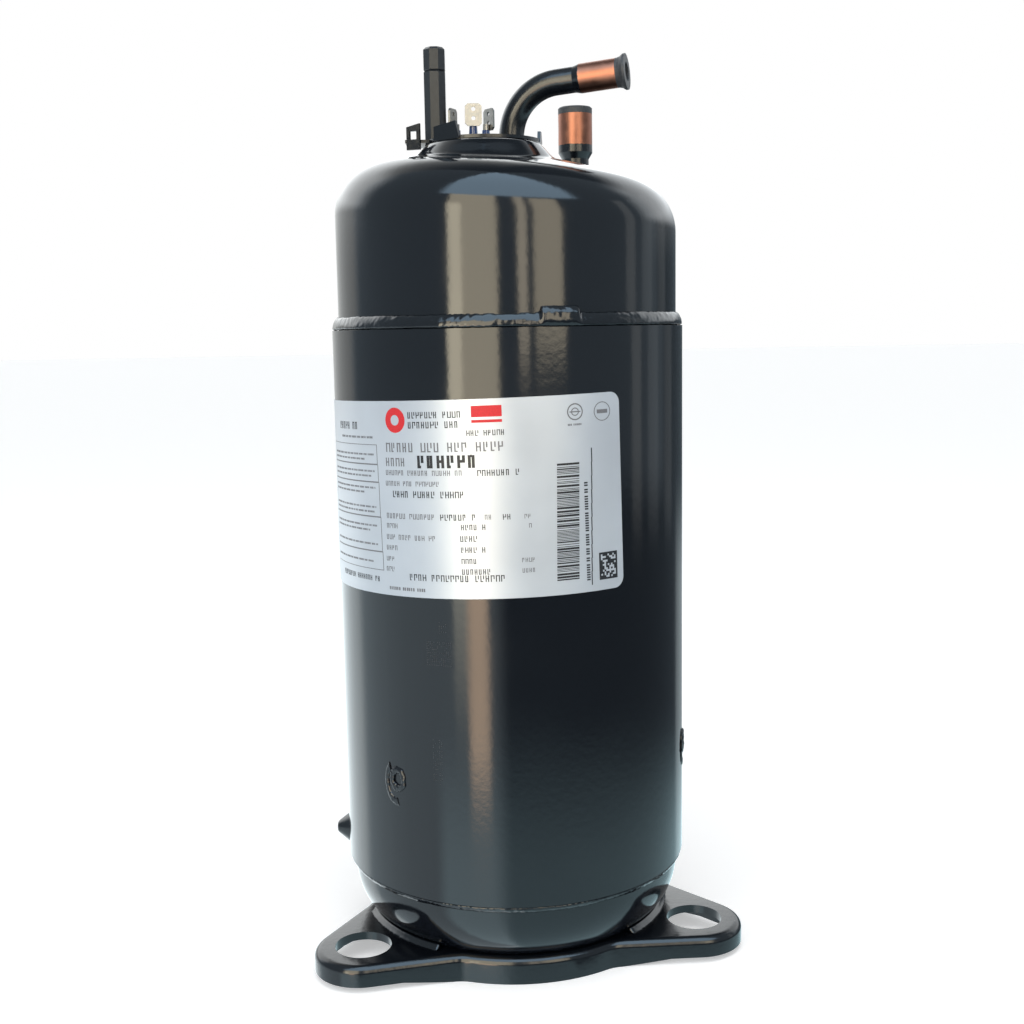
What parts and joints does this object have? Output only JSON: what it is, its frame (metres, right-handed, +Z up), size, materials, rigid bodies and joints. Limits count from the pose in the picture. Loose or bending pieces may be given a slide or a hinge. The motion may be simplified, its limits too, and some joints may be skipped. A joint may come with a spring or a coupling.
{
  "type": "hermetic rotary compressor",
  "caption": "Hermetic rolling-piston refrigeration compressor in an upright welded shell with a top terminal, discharge and suction stubs, side accumulator and three-lobed foot plate.",
  "frame": {"origin": "centre of the circle through the three foot holes, on the shell axis, on the underside of the foot plate's flat sheet (the rim reaches 7.2 mm lower between the ears and 4.9 mm lower round them)", "axes": "+Z up along the shell and crankshaft axis; -Y is the side with the right-hand end of the rating label; the accumulator stands towards +Y, 16.7 degrees round to +X; the discharge tube points to +X, 16 degrees round to -Y"},
  "size_m": [0.1699, 0.2343, 0.3543],
  "materials": {
    "black_paint": "semi-gloss black stove enamel",
    "copper": "clean drawn copper, painted black up to the bell",
    "grey_rubber": "matte moulded rubber",
    "tinned_steel": "tinned, slightly dull",
    "header_steel": "plated steel header",
    "blue_glass": "fused blue glass",
    "label_film": "satin silver film",
    "machined_iron": "machined grey iron",
    "ground_steel": "ground and lapped",
    "lamination": "stacked silicon steel",
    "winding": "varnished enamelled copper wire",
    "insulation_film": "slot insulation film",
    "cast_aluminium": "die-cast",
    "zinc_steel": "zinc-plated fasteners",
    "spring_steel": "blue-black spring steel",
    "brass": "turned or pressed brass",
    "moulded_plastic": "moulded nylon",
    "lead_insulation": "braided lead insulation",
    "post_plastic": "satin black moulding"
  },
  "bodies": {
    "housing": {"main_shell": "black_paint", "top_cap": "black_paint", "bottom_cap": "black_paint", "upper_weld_bead": "black_paint", "lower_weld_bead": "black_paint", "plug_welds": "black_paint", "equaliser_stub": "black_paint", "base_plate": "black_paint", "foot_welds": "black_paint", "terminal_bracket": "black_paint", "accumulator_upper_shell": "black_paint", "accumulator_lower_shell": "black_paint", "accumulator_bracket": "black_paint", "accumulator_strap": "black_paint", "discharge_collar": "black_paint", "suction_collar": "black_paint", "discharge_tube": "copper", "accumulator_inlet": "copper", "suction_pipe": "copper", "terminal_blades": "tinned_steel", "terminal_pins": "tinned_steel", "terminal_body": "header_steel", "terminal_glass_seals": "blue_glass", "nameplate": "label_film", "cover_post": "post_plastic", "cylinder": "machined_iron", "main_bearing": "machined_iron", "sub_bearing": "machined_iron", "stator_core": "lamination", "slot_windings": "winding", "upper_end_winding": "winding", "lower_end_winding": "winding", "slot_liners": "insulation_film", "upper_bolts": "zinc_steel", "lower_bolts": "zinc_steel", "strap_screw": "zinc_steel", "valve_rivet": "zinc_steel", "vane_spring": "spring_steel", "valve_retainer": "spring_steel", "discharge_muffler": "zinc_steel", "accumulator_screen": "brass", "cluster_block": "moulded_plastic", "thermal_protector": "moulded_plastic", "motor_leads": "lead_insulation"},
    "crank": {"crankshaft": "machined_iron", "rotor_core": "lamination", "rotor_upper_ring": "cast_aluminium", "rotor_lower_ring": "cast_aluminium", "upper_balance_weight": "brass", "lower_balance_weight": "brass", "rotor_rivets": "zinc_steel", "oil_separator": "zinc_steel", "oil_paddle": "spring_steel"},
    "roller": {"roller": "ground_steel"},
    "vane": {"vane": "ground_steel"},
    "discharge_reed": {"discharge_reed": "spring_steel"},
    "discharge_plug": {"discharge_plug": "grey_rubber"},
    "suction_plug": {"suction_plug": "grey_rubber"},
    "post_cap": {"post_cap": "post_plastic"}
  },
  "joints": [
    {"name": "crank_spin", "type": "hinge", "parent": "housing", "child": "crank", "pos_m": [0, 0, 0.0672], "axis": [0, 0, 1], "continuous": true},
    {"name": "roller_turn", "type": "hinge", "parent": "crank", "child": "roller", "pos_m": [-0.007, 0, 0.0672], "axis": [0, 0, 1], "continuous": true},
    {"name": "vane_slide", "type": "slide", "parent": "housing", "child": "vane", "axis": [0.7071, 0.7071, 0], "range_m": [-0.0119, 0], "deforming": ["vane_spring"]},
    {"name": "reed_lift", "type": "hinge", "parent": "housing", "child": "discharge_reed", "pos_m": [0.03818, -0.00913, 0.09522], "axis": [0.866, 0.5, 0], "range_deg": [0, 4]},
    {"name": "discharge_plug_pull", "type": "slide", "parent": "housing", "child": "discharge_plug", "axis": [0.9583, -0.2748, 0.0785], "range_m": [0, 0.03]},
    {"name": "suction_plug_pull", "type": "slide", "parent": "housing", "child": "suction_plug", "axis": [0, 0, 1], "range_m": [0, 0.03]},
    {"name": "post_cap_lift", "type": "slide", "parent": "housing", "child": "post_cap", "axis": [0, 0, 1], "range_m": [0, 0.015]}
  ],
  "couplings": [
    {"joint": "roller_turn", "follows": "crank_spin", "ratio": -1}
  ]
}
